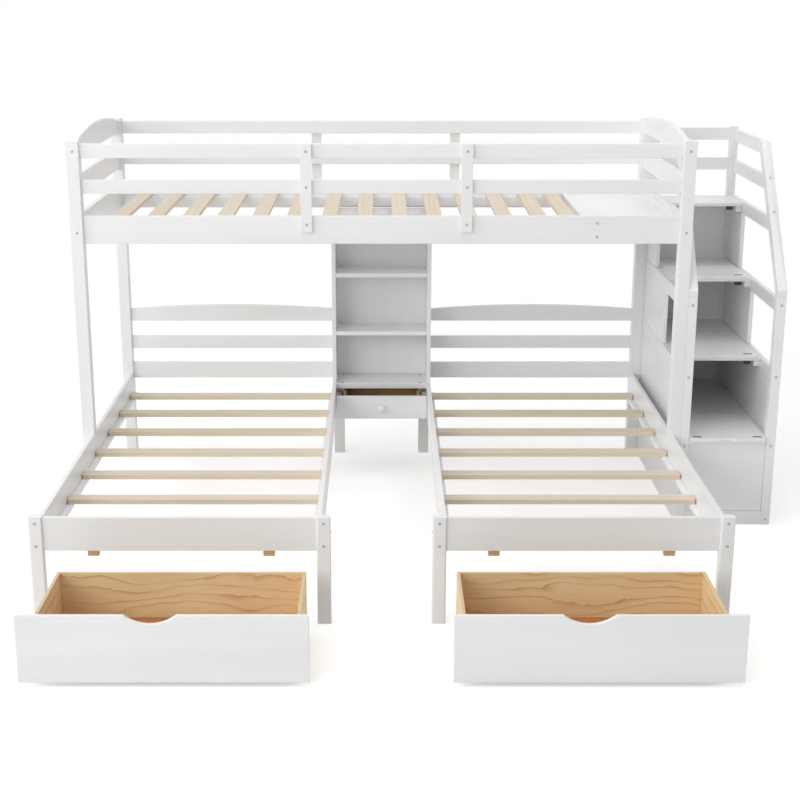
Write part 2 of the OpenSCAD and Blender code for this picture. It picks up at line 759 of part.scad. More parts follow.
// A door lies open on its tread, with a scallop in its free edge
module door(i) translate([x_door_mid, riser_y(i + 1), tread_top(i)]) {
    free_y = -door_edge - door_l;
    scallop_r = arc_r(scallop_w, scallop_d);
    linear_extrude(door_t) difference() {
        union() {
            translate([-door_w / 2, free_y + door_round]) square([door_w, door_l - door_round]);
            translate([-door_w / 2 + door_round, free_y]) square([door_w - 2 * door_round, door_l]);
            for (s = [-1, 1]) translate([s * (door_w / 2 - door_round), free_y + door_round]) circle(door_round);
        }
        translate([0, free_y + scallop_d - scallop_r]) circle(scallop_r, $fn = 96);
    }
    for (s = [-1, 1]) translate([s * hinge_x, 0, hinge_h]) difference() {
        union() {
            along_x(knuckle_l, knuckle_r);
            board([foot_in - knuckle_l / 2, -door_edge - foot_in, -pin_r],
                  [knuckle_l / 2 - foot_in, -(pin_r + knuckle_r) / 2, pin_r]);
        }
        along_x(hinge_w, pin_r + fit_gap);
    }
}

module lower_door() color(paint) at_origin() door(1);

module middle_door() color(paint) at_origin() door(2);

module upper_door() color(paint) at_origin() door(3);

// Under-bed drawers

// The left drawer's places along X, since its notch isn't mirrored
function front_low(left) = left ? -x_clear_out + drawer_gap_out : x_clear_in + drawer_gap_in;
function front_high(left) = left ? -x_clear_in - drawer_gap_in : x_clear_out - drawer_gap_out;
function box_low(left) = front_low(left) + (left ? box_out : box_in);
function box_high(left) = front_high(left) - (left ? box_in : box_out);
y_box = drawer_t - drawer_out;
y_axle = [y_box + caster_end, y_box + box_l - caster_end];

module drawer_front(left) {
    w = front_high(left) - front_low(left);
    notch_r = arc_r(notch_w, notch_d);
    translate([front_low(left), y_box, drawer_z]) rotate([90, 0, 0]) linear_extrude(drawer_t) difference() {
        square([w, drawer_h]);
        translate([w / 2 - notch_shift, drawer_h - notch_d + notch_r]) circle(notch_r, $fn = 180);
    }
}

// Inner width of a caster bracket, and its top plate's height
bracket_w = wheel_w + 2 * side_gap;
bracket_l = 36;
function wheel_x(left) = [box_low(left) + caster_side, box_high(left) - caster_side - bracket_w - 2 * bracket_t];

// A fork with its axle, fixed under the box
module bracket() {
    w = bracket_w + 2 * bracket_t;
    top = box_z + box_floor_lift - seam - wheel_r;
    fork_low = -2 * axle_r;
    difference() {
        board([0, -bracket_l / 2, fork_low], [w, bracket_l / 2, top]);
        board([bracket_t, -bracket_l, fork_low - axle_r], [w - bracket_t, bracket_l, top - bracket_t]);
    }
    translate([w / 2, 0, 0]) along_x(w - bracket_t, axle_r);
}

module drawer_box(left) {
    x0 = box_low(left);
    x1 = box_high(left);
    y1 = y_box + box_l;
    board([x0, y_box, box_z], [x0 + box_wall, y1, box_top]);
    board([x1 - box_wall, y_box, box_z], [x1, y1, box_top]);
    board([x0 + box_wall + seam, y1 - box_wall, box_z], [x1 - box_wall - seam, y1, box_top]);
    board([x0 + box_wall + seam, y_box, box_z + box_floor_lift],
          [x1 - box_wall - seam, y1 - box_wall - seam, box_z + box_floor_lift + box_floor]);
    for (x = wheel_x(left), y = y_axle) translate([x, y, wheel_r]) bracket();
}

// A pair of wheels on one axle line, crowned a little at the rim
module wheels(left, k) for (x = wheel_x(left)) translate([x + bracket_t + bracket_w / 2, y_axle[k], wheel_r])
    rotate([0, 90, 0]) rotate_extrude($fn = 64) {
        rim_chamfer = 2;
        polygon([[axle_r + fit_gap, -wheel_w / 2], [wheel_r - rim_chamfer, -wheel_w / 2],
                 [wheel_r, -wheel_w / 2 + rim_chamfer], [wheel_r, wheel_w / 2 - rim_chamfer],
                 [wheel_r - rim_chamfer, wheel_w / 2], [axle_r + fit_gap, wheel_w / 2]]);
    }

module left_drawer_front() color(paint) at_origin() drawer_front(true);
module left_drawer_box() color(plywood) at_origin() drawer_box(true);
module left_front_wheels() color(black) at_origin() wheels(true, 0);
module left_rear_wheels() color(black) at_origin() wheels(true, 1);
module right_drawer_front() color(paint) at_origin() drawer_front(false);
module right_drawer_box() color(plywood) at_origin() drawer_box(false);
module right_front_wheels() color(black) at_origin() wheels(false, 0);
module right_rear_wheels() color(black) at_origin() wheels(false, 1);

// Bolt heads

// A round head on a face that looks towards the front
module front_head(x, y, z, r = bolt_r) translate([x, y, z]) rotate([90, 0, 0]) cylinder(h = bolt_h, r = r);

// Heights of the heads on a low front post, on an upright and on an upper front post
low_heads_z = [low_rail_z + head_in_low, low_rail_top - head_in_top];
upright_heads_z = [top_guard_z + top_guard_h / 2, guard_z + guard_h / 2, upright_z + upright_w - upright_head_in];
newel_heads_z = [newel_head_low, first_rise - tread_t - newel_head_drop, tread_top(2) - stair_head_drop[0],
    tread_top(3) - stair_head_drop[1]];
lean_heads_z = [side_guard_top[0] + lean_head_rise, side_guard_top[1] + lean_head_step];
post_heads_z = [top_guard_z + top_guard_h / 2, main_rail_z + main_rail_h / 2 - post_head_drop];

module bolts() color(steel) at_origin() {
    for (left = [true, false], x = [x_in + post_w / 2, x_out - post_w / 2], z = low_heads_z)
        on_side(left) front_head(x, 0, z);
    for (left = [true, false])
        on_side(left) translate([x_in - bolt_h, front_post_d / 2, aisle_head_z]) rotate([0, 90, 0])
            cylinder(h = bolt_h, r = bolt_r);
    for (x = upright_x, z = upright_heads_z) front_head(x, y_bunk, z);
    for (left = [true, false], z = post_heads_z) on_side(left) front_head(x_out - post_w / 2, y_bunk, z);
    for (z = [main_rail_z + beam_head_in, main_rail_z + main_rail_h - beam_head_in])
        front_head(x_clear_out - platform_l + beam_in + platform_beam_w / 2, y_front_rail, z);
    for (x = [x_out + newel_w / 2, x_stair - newel_w / 2], z = newel_heads_z) front_head(x, y_bunk, z);
    for (z = lean_heads_z)
        translate([x_stair - newel_w / 2, y_bunk + (z - lean_z) * tan(lean_angle) - seam, z])
            rotate([90 - lean_angle, 0, 0]) cylinder(h = bolt_h, r = bolt_r);
    for (left = [true, false], y = [y_case + cap_front, y_case + cap_front + cap_pitch])
        on_side(left) translate([x_rail_in - cap_in, y, low_rail_top]) cylinder(h = bolt_h, r = cap_r);
}

left_outer_front_post();
left_inner_front_post();
right_inner_front_post();
right_outer_front_post();
left_foot_rail();
right_foot_rail();
left_outer_rail();
left_inner_rail();
right_inner_rail();
right_outer_rail();
left_slats();
right_slats();
left_headboard();
right_headboard();
left_inner_back_post();
right_inner_back_post();
stop_blocks();
left_front_bunk_post();
right_front_bunk_post();
left_back_bunk_post();
right_back_bunk_post();
front_bunk_rail();
back_bunk_rail();
front_guard_rails();
back_guard_rails();
front_uprights();
back_uprights();
left_end_boards();
right_end_boards();
bunk_slats();
entry_platform();
bookcase_sides();
bookcase_shelves();
bookcase_back();
nightstand_top();
nightstand_drawer_front();
nightstand_drawer_box();
nightstand_knob();
left_newel();
right_newel();
left_stair_side();
right_stair_side();
treads();
stair_front_panel();
stair_back_panel();
stair_back_guards();
door_hardware();
lower_door();
middle_door();
upper_door();
left_drawer_front();
left_drawer_box();
left_front_wheels();
left_rear_wheels();
right_drawer_front();
right_drawer_box();
right_front_wheels();
right_rear_wheels();
bolts();
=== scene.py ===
import json
import math

import bpy
import numpy as np
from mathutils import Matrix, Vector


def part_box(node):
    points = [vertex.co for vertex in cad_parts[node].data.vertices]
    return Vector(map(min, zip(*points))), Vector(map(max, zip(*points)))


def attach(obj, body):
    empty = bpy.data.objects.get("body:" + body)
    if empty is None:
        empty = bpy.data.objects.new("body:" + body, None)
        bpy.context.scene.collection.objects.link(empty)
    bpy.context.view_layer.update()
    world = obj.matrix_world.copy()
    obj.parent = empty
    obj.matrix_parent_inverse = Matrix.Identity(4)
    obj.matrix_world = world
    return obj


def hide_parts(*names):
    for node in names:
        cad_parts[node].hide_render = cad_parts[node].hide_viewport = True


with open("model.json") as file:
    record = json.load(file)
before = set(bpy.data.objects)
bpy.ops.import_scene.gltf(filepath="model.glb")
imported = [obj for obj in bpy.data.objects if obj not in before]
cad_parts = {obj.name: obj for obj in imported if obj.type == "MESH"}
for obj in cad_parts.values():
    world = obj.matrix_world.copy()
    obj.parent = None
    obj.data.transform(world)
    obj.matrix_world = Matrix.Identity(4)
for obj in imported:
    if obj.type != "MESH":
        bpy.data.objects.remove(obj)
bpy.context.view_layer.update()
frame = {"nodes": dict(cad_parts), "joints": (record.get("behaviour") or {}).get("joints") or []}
nodes = frame["nodes"]
scene = bpy.context.scene
scene.view_settings.view_transform = "Standard"
print("frame loaded:", len(nodes), "nodes")

# Camera, lamps, floor and world

cameraSet = {
    "place": (-0.2, -5.5438, 2.2203),
    "pitch": 16.17,  # degrees below level
    "lens": 65.05,
    "sensor": 36.0,
    "shift": (0.0231, 0.0012),
    "farthest": 200.0,
}


# The photo's camera: it stands before the bed's middle and looks down by its pitch
def makeCamera():
    data = bpy.data.cameras.new("photoCamera")
    data.sensor_width = cameraSet["sensor"]
    data.lens = cameraSet["lens"]
    data.shift_x, data.shift_y = cameraSet["shift"]
    data.clip_end = cameraSet["farthest"]
    camera = bpy.data.objects.new("photoCamera", data)
    camera.location = cameraSet["place"]
    camera.rotation_euler = (math.radians(90 - cameraSet["pitch"]), 0, 0)
    scene.collection.objects.link(camera)
    scene.camera = camera


lampSet = {  # place, point it looks at, size across and down, watts
    "frontLeft": ((-6.0, -8.8, 5.0), (0.0, 0.2, 0.7), (6.4, 4.8), 360),
    "sideLeftLow": ((-9.6, -3.4, 2.2), (0.2, 1.2, 0.6), (4.2, 2.9), 150),
    "sideLeftHigh": ((-8.8, -1.8, 6.0), (0.0, 0.8, 0.7), (4.8, 3.8), 150),
    "above": ((0.0, 0.0, 6.0), (0.0, 0.2, 0.0), (7.0, 6.0), 160),
}


# Each lamp is tilted from straight down by atan2(level distance, drop), then turned to its target
def makeLamps():
    for name, (place, target, size, watts) in lampSet.items():
        data = bpy.data.lights.new(name, "AREA")
        data.shape = "RECTANGLE"
        data.size, data.size_y = size
        data.energy = watts
        lamp = bpy.data.objects.new(name, data)
        aim = np.subtract(target, place)
        level = math.hypot(aim[0], aim[1])
        lamp.location = place
        lamp.rotation_euler = (math.atan2(level, -aim[2]), 0, math.atan2(-aim[0], aim[1]))
        scene.collection.objects.link(lamp)


class Val:  # one shader socket; Python's operators on it add Math nodes
    def __init__(self, tree, socket):
        self.tree = tree
        self.socket = socket

    # any node: its type, its settings, its inputs by name or number, and the output that is wanted
    def add(self, kind, settings=None, inputs=None, out=0):
        made = self.tree.nodes.new("ShaderNode" + kind)
        for key, value in (settings or {}).items():
            setattr(made, key, value)
        for key, value in (inputs or {}).items():
            if isinstance(value, Val):
                self.tree.links.new(value.socket, made.inputs[key])
            else:
                made.inputs[key].default_value = value
        return Val(self.tree, made.outputs[out])

    # a Math node with this value first
    def calc(self, operation, other=0.0):
        return self.add("Math", {"operation": operation}, {0: self, 1: other})

    def __add__(self, other):
        return self.calc("ADD", other)

    __radd__ = __add__

    def __mul__(self, other):
        return self.calc("MULTIPLY", other)

    __rmul__ = __mul__

    # 0 below low and 1 above high, smooth between them
    def ramp(self, low, high):
        smooth = {"interpolation_type": "SMOOTHSTEP"}
        return self.add("MapRange", smooth, {0: self, 1: low, 2: high})

    # a colour between two others, self being the factor; 6, 7 and 2 are the node's colour sockets
    def mix(self, dark, light):
        return self.add("Mix", {"data_type": "RGBA"}, {0: self, 6: dark, 7: light}, out=2)


# A colour with red, green and blue the same
def grey(value):
    return (value, value, value, 1)


floorSet = {"size": 16.0, "albedo": 0.82, "glow": 0.4, "fadeFrom": 2.2, "fadeTo": 4.6}
worldSet = {"ambient": 0.44}


# 1 for rays that show the backdrop: camera, glossy and transmission rays
def seenDirectly(tree):
    path = tree.nodes.new("ShaderNodeLightPath")
    seen = Val(tree, path.outputs["Is Camera Ray"]) + Val(tree, path.outputs["Is Glossy Ray"])
    return seen + Val(tree, path.outputs["Is Transmission Ray"])


# The floor: diffuse with a glow for rays that see it, fading to plain white with the distance
# from the middle
def makeFloor():
    half = floorSet["size"] / 2
    mesh = bpy.data.meshes.new("studioFloor")
    corners = [(-half, -half, 0), (half, -half, 0), (half, half, 0), (-half, half, 0)]
    mesh.from_pydata(corners, [], [(0, 1, 2, 3)])
    floor = bpy.data.objects.new("studioFloor", mesh)
    scene.collection.objects.link(floor)
    material = bpy.data.materials.new("studioFloor")
    material.use_nodes = True
    tree = material.node_tree
    tree.nodes.clear()
    seen = seenDirectly(tree)
    diffuse = seen.add("BsdfDiffuse", {}, {"Color": grey(floorSet["albedo"])})
    glow = seen.add("Emission", {}, {"Color": grey(1), "Strength": seen * floorSet["glow"]})
    near = seen.add("AddShader", {}, {0: diffuse, 1: glow})
    white = seen.add("Emission", {}, {"Color": grey(1), "Strength": 1.0})
    place = seen.add("TexCoord", out="Object")
    away = place.add("VectorMath", {"operation": "LENGTH"}, {0: place}, out="Value")
    fade = away.ramp(floorSet["fadeFrom"], floorSet["fadeTo"])
    both = seen.add("MixShader", {}, {0: fade, 1: near, 2: white})
    end = tree.nodes.new("ShaderNodeOutputMaterial")
    tree.links.new(both.socket, end.inputs["Surface"])
    mesh.materials.append(material)


# The world: strength = ambient, and 1 for rays that see the backdrop
def makeWorld():
    world = bpy.data.worlds.new("studioWorld")
    scene.world = world
    world.use_nodes = True
    tree = world.node_tree
    tree.nodes.clear()
    seen = seenDirectly(tree)
    ambient = worldSet["ambient"]
    strength = seen.calc("MINIMUM", 1.0) * (1 - ambient) + ambient
    back = seen.add("Background", {}, {"Color": grey(1), "Strength": strength})
    end = tree.nodes.new("ShaderNodeOutputWorld")
    tree.links.new(back.socket, end.inputs["Surface"])


makeCamera()
makeLamps()
makeFloor()
makeWorld()
print("camera, lamps, floor and world made")


# Materials. In their dictionaries a noise layer is (scale, detail, roughness), a layer of streaks
# has its stretch along the grain before those, a ramp is (from, to) and a bump (strength, metres)

# A material with its shader, and the coordinates that its pattern reads: Object or UV
def newMaterial(name, source="Object"):
    material = bpy.data.materials.new(name)
    material.use_nodes = True
    tree = material.node_tree
    shader = tree.nodes["Principled BSDF"]
    place = Val(tree, tree.nodes.new("ShaderNodeTexCoord").outputs[source])
    return material, shader, place


# Feeds a value to one of the shader's sockets
def join(value, shader, name):
    value.tree.links.new(value.socket, shader.inputs[name])


# A bump: the surface looks as if it stood out by height times distance
def joinBump(height, shader, strength, distance):
    inputs = {"Height": height, "Strength": strength, "Distance": distance}
    join(height.add("Bump", {}, inputs), shader, "Normal")


# Noise on the coordinates, about as many lumps a metre as its scale
def noise(place, scale, detail, rough=0.5):
    inputs = {"Vector": place, "Scale": scale, "Detail": detail, "Roughness": rough}
    return place.add("TexNoise", {}, inputs)


# Noise on coordinates squeezed along one axis, so that it is drawn out along the grain
def streaks(place, axis, stretch, *layer):
    scale = [1.0, 1.0, 1.0]
    scale["XYZ".index(axis)] = 1 / stretch
    return noise(place.add("Mapping", {}, {"Vector": place, "Scale": scale}), *layer)


paintSet = {
    "light": (0.872, 0.8765, 0.881, 1),
    "dark": (0.814, 0.821, 0.829, 1),
    "broad": (14.0, 9.0, 4.0),
    "fine": (14.0, 160.0, 3.0, 0.6),
    "roller": (420.0, 2.0, 0.7),
    "blotch": (2.2, 2.0),
    "broadShare": 0.6,
    "ramp": (0.3, 0.72),
    "rough": 0.26,
    "roughBroad": 0.12,
    "roughRoller": 0.08,
    "fineShare": 0.7,
    "bump": (0.12, 0.0006),
    "specular": 0.42,
}


# White paint: colour = mix of two whites by broad streaks and blotches; bump = fine streaks under
# the marks of the roller
def paint(axis):
    material, shader, place = newMaterial("whitePaint" + axis)
    broad = streaks(place, axis, *paintSet["broad"])
    fine = streaks(place, axis, *paintSet["fine"])
    roller = noise(place, *paintSet["roller"])
    blotch = noise(place, *paintSet["blotch"])
    share = paintSet["broadShare"]
    tone = (broad * share + blotch * (1 - share)).ramp(*paintSet["ramp"])
    join(tone.mix(paintSet["dark"], paintSet["light"]), shader, "Base Color")
    rough = broad * paintSet["roughBroad"] + roller * paintSet["roughRoller"] + paintSet["rough"]
    join(rough, shader, "Roughness")
    share = paintSet["fineShare"]
    joinBump(fine * share + roller * (1 - share), shader, *paintSet["bump"])
    shader.inputs["Specular IOR Level"].default_value = paintSet["specular"]
    return material


pineSet = {  # light wood, dark wood
    "slatPine": ((0.765, 0.67, 0.55, 1), (0.68, 0.565, 0.43, 1)),
    "blockPine": ((0.72, 0.50, 0.27, 1), (0.60, 0.37, 0.17, 1)),
}
pineGrainSet = {
    "bend": (9.0, 7.0, 3.0),
    "fibre": (40.0, 260.0, 3.0, 0.6),
    "patch": (30.0, 11.0, 1.0),
    "ringTurns": 240.0,  # radians a metre across the board
    "bendTurns": 20.0,
    "shares": (0.14, 0.36, 0.3, 0.3),  # of rings, fibre, bend and patch in the tone
    "ramp": (0.3, 0.8),
    "rough": 0.48,
    "roughFibre": 0.2,
    "fibreShare": 0.6,
    "bump": (0.18, 0.0005),
}


# Bare pine: rings = sine of distance across the board, bent by broad streaks; fibre = fine streaks
def pine(name, axis):
    light, dark = pineSet[name]
    grain = pineGrainSet
    material, shader, place = newMaterial(name + axis)
    bend = streaks(place, axis, *grain["bend"])
    fibre = streaks(place, axis, *grain["fibre"])
    patch = streaks(place, axis, *grain["patch"])
    across = place.add("SeparateXYZ", {}, {0: place}, out="X" if axis == "Y" else "Y")
    turns = across * grain["ringTurns"] + bend * grain["bendTurns"]
    rings = turns.calc("SINE") * 0.5 + 0.5
    ringShare, fibreShare, bendShare, patchShare = grain["shares"]
    tone = rings * ringShare + fibre * fibreShare + bend * bendShare + patch * patchShare
    join(tone.ramp(*grain["ramp"]).mix(light, dark), shader, "Base Color")
    join(fibre * grain["roughFibre"] + grain["rough"], shader, "Roughness")
    share = grain["fibreShare"]
    joinBump(fibre * share + rings * (1 - share), shader, *grain["bump"])
    return material


plySet = {  # light face, dark face, the colour of its grain lines, roughness
    "plywood": ((0.86, 0.68, 0.41, 1), (0.75, 0.545, 0.295, 1), (0.53, 0.235, 0.07, 1), 0.45),
    # the floor's plywood is darker and more orange than the faces: partly its own veneer, partly
    # painted shade of the floor deep inside the box
    "floorPlywood": ((0.50, 0.225, 0.082, 1), (0.41, 0.165, 0.054, 1),
                     (0.30, 0.095, 0.026, 1), 0.45),
    "brownPlywood": ((0.40, 0.25, 0.13, 1), (0.27, 0.155, 0.08, 1), (0.15, 0.075, 0.035, 1), 0.5),
}
plyGrainSet = {
    "bend": (3.2, 9.0, 2.0, 0.45),
    "jag": (2.4, 75.0, 3.0, 0.6),
    "patch": (3.0, 13.0, 1.0),
    "fibre": (30.0, 240.0, 3.0, 0.6),
    "lines": 24.0,  # grain lines a metre
    "bendTurns": 4.6,
    "jagTurns": 0.32,
    "sharp": 7.0,
    "patchRamp": (0.32, 0.68),
    "faint": 0.35,
    "strong": 0.6,
    "fibreShare": 0.5,
    "ramp": (0.3, 0.75),
    "roughFibre": 0.15,
    "bump": (0.2, 0.0004),
}


# Plywood face: turns = distance across + slow bends + small jags; each turn ends in a line that
# starts softly, stronger in some patches than in others
def plywood(name, source):
    light, dark, line, rough = plySet[name]
    grain = plyGrainSet
    material, shader, place = newMaterial(name, source)
    across = place.add("SeparateXYZ", {}, {0: place}, out="Y" if source == "UV" else "Z")
    bend = streaks(place, "X", *grain["bend"])
    jag = streaks(place, "X", *grain["jag"])
    fibre = streaks(place, "X", *grain["fibre"])
    turns = across * grain["lines"] + bend * grain["bendTurns"] + jag * grain["jagTurns"]
    lines = turns.calc("FRACT").calc("POWER", grain["sharp"])
    patch = streaks(place, "X", *grain["patch"]).ramp(*grain["patchRamp"])
    share = grain["fibreShare"]
    face = (fibre * share + bend * (1 - share)).ramp(*grain["ramp"]).mix(light, dark)
    strength = patch * grain["strong"] + grain["faint"]
    join((lines * strength).mix(face, line), shader, "Base Color")
    join(fibre * grain["roughFibre"] + rough, shader, "Roughness")
    joinBump(fibre, shader, *grain["bump"])
    return material


plyEdgeSet = {
    "dark": (0.56, 0.38, 0.21, 1),
    "light": (0.80, 0.65, 0.44, 1),
    "layer": 0.0034,  # two layers, a light one and a dark one
    "ramp": (-0.2, 0.2),
    "fibre": (8.0, 700.0, 2.0, 0.6),
    "layerShare": 0.65,
    "rough": 0.5,
    "roughFibre": 0.2,
}


# The edge of a plywood board: its layers are stripes, a sine of the UV map's V, which runs across
# the thickness
def plywoodEdge():
    material, shader, place = newMaterial("plywoodEdge", "UV")
    across = place.add("SeparateXYZ", {}, {0: place}, out="Y")
    layers = (across * (2 * math.pi / plyEdgeSet["layer"])).calc("SINE").ramp(*plyEdgeSet["ramp"])
    fibre = streaks(place, "X", *plyEdgeSet["fibre"])
    share = plyEdgeSet["layerShare"]
    tone = layers * share + fibre * (1 - share)
    join(tone.mix(plyEdgeSet["dark"], plyEdgeSet["light"]), shader, "Base Color")
    join(fibre * plyEdgeSet["roughFibre"] + plyEdgeSet["rough"], shader, "Roughness")
    return material


steelSet = {  # dark grey, light grey, roughness
    "zincSteel": (0.40, 0.54, 0.4),
    "socketSteel": (0.44, 0.56, 0.5),
    "darkSteel": (0.05, 0.11, 0.35),
    "hubSteel": (0.25, 0.38, 0.35),
}
brushSet = {"scratch": (12.0, 900.0, 2.0, 0.6), "roughScratch": 0.25, "metallic": 0.85}


# Steel, plated or darkened: metal with brushed streaks in its colour and roughness
def steel(name):
    dark, light, rough = steelSet[name]
    material, shader, place = newMaterial(name)
    scratch = streaks(place, "X", *brushSet["scratch"])
    join(scratch.mix(grey(dark), grey(light)), shader, "Base Color")
    join(scratch * brushSet["roughScratch"] + rough, shader, "Roughness")
    shader.inputs["Metallic"].default_value = brushSet["metallic"]
    return material


plasticSet = {
    "dark": (0.016, 0.016, 0.017, 1),
    "light": (0.035, 0.035, 0.037, 1),
    "pebble": (1400.0, 2.0, 0.6),
    "rough": 0.4,
    "roughPebble": 0.2,
    "bump": (0.15, 0.0003),
}


# Moulded black plastic: dark grey with a fine pebbled bump
def blackPlastic():
    material, shader, place = newMaterial("blackPlastic")
    pebble = noise(place, *plasticSet["pebble"])
    join(pebble.mix(plasticSet["dark"], plasticSet["light"]), shader, "Base Color")
    join(pebble * plasticSet["roughPebble"] + plasticSet["rough"], shader, "Roughness")
    joinBump(pebble, shader, *plasticSet["bump"])
    return material


paints = {axis: paint(axis) for axis in "XYZ"}
pines = {axis: pine("slatPine", axis) for axis in "XY"}
blockFinish = pine("blockPine", "X")
plyFinish = plywood("plywood", "UV")
plyEdgeFinish = plywoodEdge()
plyFloorShadeFinish = plywood("floorPlywood", "UV")
brownFinish = plywood("brownPlywood", "Object")
steelFinish = steel("zincSteel")
socketFinish = steel("socketSteel")
darkSteelFinish = steel("darkSteel")
blackFinish = blackPlastic()
hubFinish = steel("hubSteel")

# The grain axis of each white node; those that aren't named run along X
grainAxis = {
    "Y": ["left_outer_rail", "left_inner_rail", "right_inner_rail", "right_outer_rail",
          "left_end_boards", "right_end_boards", "left_stair_side", "right_stair_side"],
    "Z": ["left_outer_front_post", "left_inner_front_post", "right_inner_front_post",
          "right_outer_front_post", "left_inner_back_post", "right_inner_back_post",
          "left_front_bunk_post", "right_front_bunk_post", "left_back_bunk_post",
          "right_back_bunk_post", "front_uprights", "back_uprights", "bookcase_sides",
          "bookcase_back", "left_newel", "right_newel"],
}
otherFinish = {
    "left_slats": pines["X"],
    "right_slats": pines["X"],
    "bunk_slats": pines["Y"],
    "stop_blocks": blockFinish,
    "nightstand_drawer_box": brownFinish,
}


# The finish of a node: its own if it has one, or else white paint along its grain axis
def finishFor(name):
    if name in otherFinish:
        return otherFinish[name]
    for axis, names in grainAxis.items():
        if name in names:
            return paints[axis]
    return paints["X"]


edgeSet = {
    "weld": 0.00002,
    "round": 0.0022,
    "segments": 2,
    "angle": 40.0,  # degrees between faces from which an edge is eased
    "panelRound": 0.0034,  # the stairs' panels show broader joint lines
    "panels": ["left_stair_side", "right_stair_side", "stair_front_panel", "stair_back_panel"],
}


# Gives a node its finish, and eases its edges as sanded boards have them
def dressNode(name):
    node = nodes[name]
    node.data.materials.clear()
    node.data.materials.append(finishFor(name))
    weld = node.modifiers.new("weld", "WELD")
    weld.merge_threshold = edgeSet["weld"]
    bevel = node.modifiers.new("easedEdges", "BEVEL")
    bevel.width = edgeSet["panelRound"] if name in edgeSet["panels"] else edgeSet["round"]
    bevel.segments = edgeSet["segments"]
    bevel.limit_method = "ANGLE"
    bevel.angle_limit = math.radians(edgeSet["angle"])


replaced = ["bolts", "door_hardware", "left_drawer_box", "right_drawer_box", "left_front_wheels",
            "left_rear_wheels", "right_front_wheels", "right_rear_wheels"]
for name in nodes:
    if name not in replaced:
        dressNode(name)
print("nodes dressed")


# Mesh parts: each is (points, faces, slot of each face), and a piece is made of many

# A profile of (radius, height) rows turned about Z: point(i, k) = (r cos a, r sin a, h) with
# a = k turns / count. An open profile gets two caps, a closed one joins its last row to its first
def lathe(profile, count, factor=1.0, closed=False):
    rows = np.asarray(profile, float)
    angle = np.arange(count) * 2 * math.pi / count
    radius = rows[:, :1] * factor
    axes = np.broadcast_arrays(radius * np.cos(angle), radius * np.sin(angle), rows[:, 1:])
    points = np.stack(axes, axis=-1).reshape(-1, 3)
    bands = len(rows) if closed else len(rows) - 1
    row, step = np.meshgrid(np.arange(bands), np.arange(count), indexing="ij")
    here, above = row * count, (row + 1) % len(rows) * count
    beside = (step + 1) % count
    corners = [here + step, here + beside, above + beside, above + step]
    faces = np.stack(corners, -1).reshape(-1, 4).tolist()
    if not closed:
        faces += [list(range(count))[::-1], list(range(bands * count, len(points)))]
    return points, faces, [0] * len(faces)


# Corner 4 x + 2 y + z of a board, each 0 or 1; its faces are low and high along X, Y and Z
boardFaces = [[0, 1, 3, 2], [4, 6, 7, 5], [0, 4, 5, 1], [2, 3, 7, 6], [0, 2, 6, 4], [1, 5, 7, 3]]


# A board between two corners: eight points and six outward faces
def board(low, high, slot=0):
    ends = np.array([low, high], float)
    pick = np.stack(np.meshgrid([0, 1], [0, 1], [0, 1], indexing="ij"), -1).reshape(-1, 3)
    return ends[pick, np.arange(3)], boardFaces, [slot] * 6


# An outline in the plane, raised by its thickness: two caps and a wall round the edge
def plate(outline, thickness):
    flat = np.asarray(outline, float)
    count = len(flat)
    low, high = np.c_[flat, np.zeros(count)], np.c_[flat, np.full(count, thickness)]
    step = np.arange(count)
    after = (step + 1) % count
    walls = np.stack([step, after, after + count, step + count], -1).tolist()
    faces = walls + [list(range(count))[::-1], list(range(count, 2 * count))]
    return np.concatenate([low, high]), faces, [0] * len(faces)


# The outline of a rectangle with rounded corners: a quarter circle at each
def roundedRectangle(width, depth, radius, steps=5):
    angle = np.linspace(0, math.pi / 2, steps)
    turns = np.concatenate([angle + quarter * math.pi / 2 for quarter in range(4)])
    signs = np.repeat([[1, 1], [-1, 1], [-1, -1], [1, -1]], steps, axis=0)
    centre = signs * [width / 2 - radius, depth / 2 - radius]
    return centre + radius * np.stack([np.cos(turns), np.sin(turns)], -1)


# Moves a part: its local X, Y and Z become the three rows of the axes, then it is shifted
def placed(part, shift, axes=np.eye(3)):
    points, faces, slots = part
    return points @ np.asarray(axes, float) + np.asarray(shift, float), faces, slots


nearlyAlong = 0.9  # the share of a unit direction from which it counts as running along an axis
raisedAlongX = [[0, 1, 0], [0, 0, 1], [1, 0, 0]]  # an outline drawn in Y and Z, its thickness in X


# Axes whose third row is the direction given; the first is square to it and to a helper axis, and
# the second to both
def axesTo(direction):
    third = np.asarray(direction, float) / np.linalg.norm(direction)
    helper = [1.0, 0, 0] if abs(third[0]) < nearlyAlong else [0, 0, 1.0]
    first = np.cross(helper, third)
    first = np.cross(third, np.cross(first, third)) / np.linalg.norm(first)
    return np.array([first, np.cross(third, first), third])


pieceSet = {"sharp": 35.0, "bevelSegments": 2}  # degrees from which an edge is drawn sharp


# One object of many parts: their points in one list, their faces shifted by the points before
def newPiece(name, parts, finishes, body, stands=(), bevel=0.0, smooth=True):
    points, faces, slots, start = [], [], [], 0
    for partPoints, partFaces, partSlots in parts:
        points.append(partPoints)
        faces += [[corner + start for corner in face] for face in partFaces]
        slots += list(partSlots)
        start += len(partPoints)
    mesh = bpy.data.meshes.new(name)
    mesh.from_pydata(np.concatenate(points).tolist(), [], faces)
    for finish in finishes:
        mesh.materials.append(finish)
    mesh.polygons.foreach_set("material_index", slots)
    mesh.validate()
    if smooth:
        mesh.shade_smooth()
        mesh.set_sharp_from_angle(angle=math.radians(pieceSet["sharp"]))
    piece = bpy.data.objects.new(name, mesh)
    scene.collection.objects.link(piece)
    if bevel:
        eased = piece.modifiers.new("easedEdges", "BEVEL")
        eased.width = bevel
        eased.segments = pieceSet["bevelSegments"]
        eased.limit_method = "ANGLE"
    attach(piece, body)
    if stands:
        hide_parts(*stands)
    return piece


